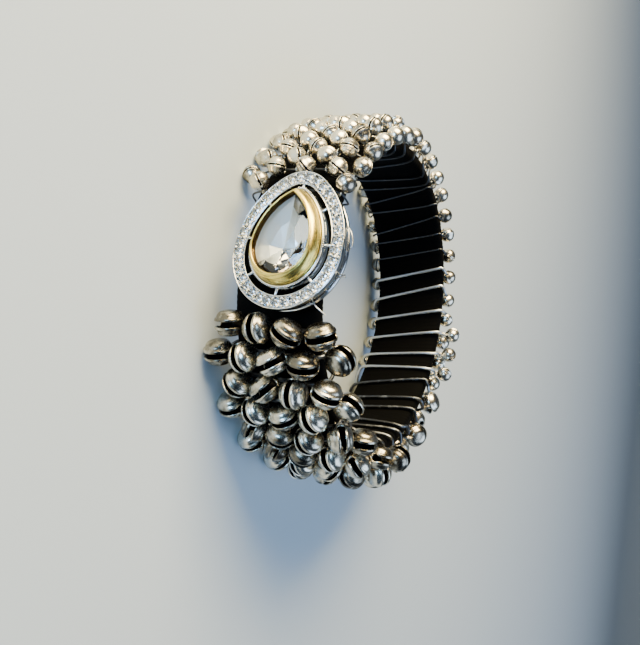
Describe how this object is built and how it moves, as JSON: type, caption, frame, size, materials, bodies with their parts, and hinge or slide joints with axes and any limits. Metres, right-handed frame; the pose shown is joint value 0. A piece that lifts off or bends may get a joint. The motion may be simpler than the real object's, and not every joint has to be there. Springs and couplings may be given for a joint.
{
  "type": "bell bangle",
  "caption": "Rigid wrist bangle with a wire-wound band covered in slit bells and a drop-shaped stone medallion.",
  "frame": {"origin": "on the ring axis, at the level that the lowest bells rest on", "axes": "+Z along the ring axis and across the band, -Y towards the medallion, +X towards the large bells"},
  "size_m": [0.0822, 0.0811, 0.0293],
  "materials": {
    "black_cloth": "wound cotton",
    "silver_wire": "polished silver wire",
    "silver_large_bells": "polished, lightly tarnished silver",
    "silver_small_bells": "polished silver",
    "white_metal": "rhodium white polish",
    "clear_small_stones": "cut and foil-backed",
    "gold": "polished gold",
    "clear_pear_stone": "cut and foil-backed"
  },
  "bodies": {
    "root": {"band": "black_cloth", "lashing_wire": "silver_wire", "large_bells": "silver_large_bells", "small_bells": "silver_small_bells", "halo_frame": "white_metal", "halo_stones": "clear_small_stones", "gold_bezel": "gold", "pear_stone": "clear_pear_stone"}
  },
  "joints": []
}
